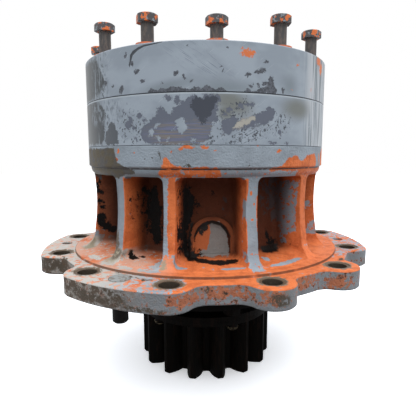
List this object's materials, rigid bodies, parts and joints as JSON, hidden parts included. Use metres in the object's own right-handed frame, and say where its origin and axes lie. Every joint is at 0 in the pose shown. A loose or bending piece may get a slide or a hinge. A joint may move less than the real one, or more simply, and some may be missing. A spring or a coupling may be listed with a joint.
{
  "type": "swing gearbox",
  "caption": "Two-stage planetary swing gearbox: ribbed cast housing on a lobed flange, stacked ring gears, proud hex bolts on top and a coarse output pinion below.",
  "frame": {"origin": "on the gearbox axis, in the plane of the mounting flange's underside", "axes": "+Z along the axis from the pinion towards the motor face, -Y towards the camera"},
  "size_m": [0.52, 0.513, 0.512],
  "materials": {
    "housing_paint": "worn grey paint over orange primer on a rough casting",
    "ring_paint": "worn grey paint, chipped to dark steel",
    "bolt_steel": "blackened steel with flakes of orange paint",
    "washer_paint": "orange paint",
    "dark_steel": "oily dark forged steel",
    "gear_steel": "oiled ground steel",
    "carrier_iron": "oiled machined iron",
    "bearing_steel": "ground bearing steel",
    "cage_brass": "machined brass",
    "seal_rubber": "black nitrile rubber"
  },
  "bodies": {
    "casing": {"housing": "housing_paint", "second_ring_gear": "ring_paint", "first_ring_gear": "ring_paint", "ring_bolts": "bolt_steel", "ring_washers": "washer_paint", "ring_seals": "seal_rubber", "ring_dowels": "bearing_steel", "locating_pins": "dark_steel", "seal_retainer": "dark_steel", "retainer_bolts": "dark_steel", "shaft_seal": "seal_rubber", "drain_plug": "dark_steel", "drain_washer": "cage_brass", "lower_bearing_outer_race": "bearing_steel", "upper_bearing_outer_race": "bearing_steel"},
    "output": {"pinion_shaft": "dark_steel", "guard_ring": "dark_steel", "guard_ring_screws": "dark_steel", "seal_sleeve": "bearing_steel", "lower_bearing_inner_race": "bearing_steel", "lower_bearing_rollers": "bearing_steel", "lower_bearing_cage": "cage_brass", "upper_bearing_inner_race": "bearing_steel", "upper_bearing_rollers": "bearing_steel", "upper_bearing_cage": "cage_brass", "second_carrier": "carrier_iron", "end_plate": "gear_steel", "end_plate_screws": "bolt_steel", "sun_thrust_button": "bearing_steel", "second_planet_pins": "bearing_steel", "second_needles": "bearing_steel", "second_needle_cages": "cage_brass", "second_thrust_washers": "cage_brass", "second_pin_rings": "bolt_steel"},
    "second_planet_a_body": {"second_planet_a": "gear_steel"},
    "second_planet_b_body": {"second_planet_b": "gear_steel"},
    "second_planet_c_body": {"second_planet_c": "gear_steel"},
    "intermediate": {"second_sun_gear": "gear_steel", "first_carrier": "carrier_iron", "first_planet_pins": "bearing_steel", "first_needles": "bearing_steel", "first_needle_cages": "cage_brass", "first_thrust_washers": "cage_brass", "first_pin_rings": "bolt_steel", "input_thrust_plate": "cage_brass"},
    "first_planet_a_body": {"first_planet_a": "gear_steel"},
    "first_planet_b_body": {"first_planet_b": "gear_steel"},
    "first_planet_c_body": {"first_planet_c": "gear_steel"},
    "input": {"input_sun_gear": "gear_steel"}
  },
  "joints": [
    {"name": "output_turn", "type": "hinge", "parent": "casing", "child": "output", "pos_m": [0, 0, 0], "axis": [0, 0, 1], "continuous": true},
    {"name": "second_planet_a_spin", "type": "hinge", "parent": "output", "child": "second_planet_a_body", "pos_m": [0.07794, 0.045, 0.211], "axis": [0, 0, 1], "continuous": true},
    {"name": "second_planet_b_spin", "type": "hinge", "parent": "output", "child": "second_planet_b_body", "pos_m": [-0.07794, 0.045, 0.211], "axis": [0, 0, 1], "continuous": true},
    {"name": "second_planet_c_spin", "type": "hinge", "parent": "output", "child": "second_planet_c_body", "pos_m": [0, -0.09, 0.211], "axis": [0, 0, 1], "continuous": true},
    {"name": "intermediate_turn", "type": "hinge", "parent": "casing", "child": "intermediate", "pos_m": [0, 0, 0.25], "axis": [0, 0, 1], "continuous": true},
    {"name": "first_planet_a_spin", "type": "hinge", "parent": "intermediate", "child": "first_planet_a_body", "pos_m": [0, 0.084, 0.277], "axis": [0, 0, 1], "continuous": true},
    {"name": "first_planet_b_spin", "type": "hinge", "parent": "intermediate", "child": "first_planet_b_body", "pos_m": [-0.07275, -0.042, 0.277], "axis": [0, 0, 1], "continuous": true},
    {"name": "first_planet_c_spin", "type": "hinge", "parent": "intermediate", "child": "first_planet_c_body", "pos_m": [0.07275, -0.042, 0.277], "axis": [0, 0, 1], "continuous": true},
    {"name": "input_turn", "type": "hinge", "parent": "casing", "child": "input", "pos_m": [0, 0, 0.28], "axis": [0, 0, 1], "continuous": true}
  ],
  "couplings": [
    {"joint": "second_planet_a_spin", "follows": "output_turn", "ratio": -3},
    {"joint": "second_planet_b_spin", "follows": "output_turn", "ratio": -3},
    {"joint": "second_planet_c_spin", "follows": "output_turn", "ratio": -3},
    {"joint": "intermediate_turn", "follows": "output_turn", "ratio": 4},
    {"joint": "first_planet_a_spin", "follows": "output_turn", "ratio": -11},
    {"joint": "first_planet_b_spin", "follows": "output_turn", "ratio": -11},
    {"joint": "first_planet_c_spin", "follows": "output_turn", "ratio": -11},
    {"joint": "input_turn", "follows": "output_turn", "ratio": 18.667}
  ]
}
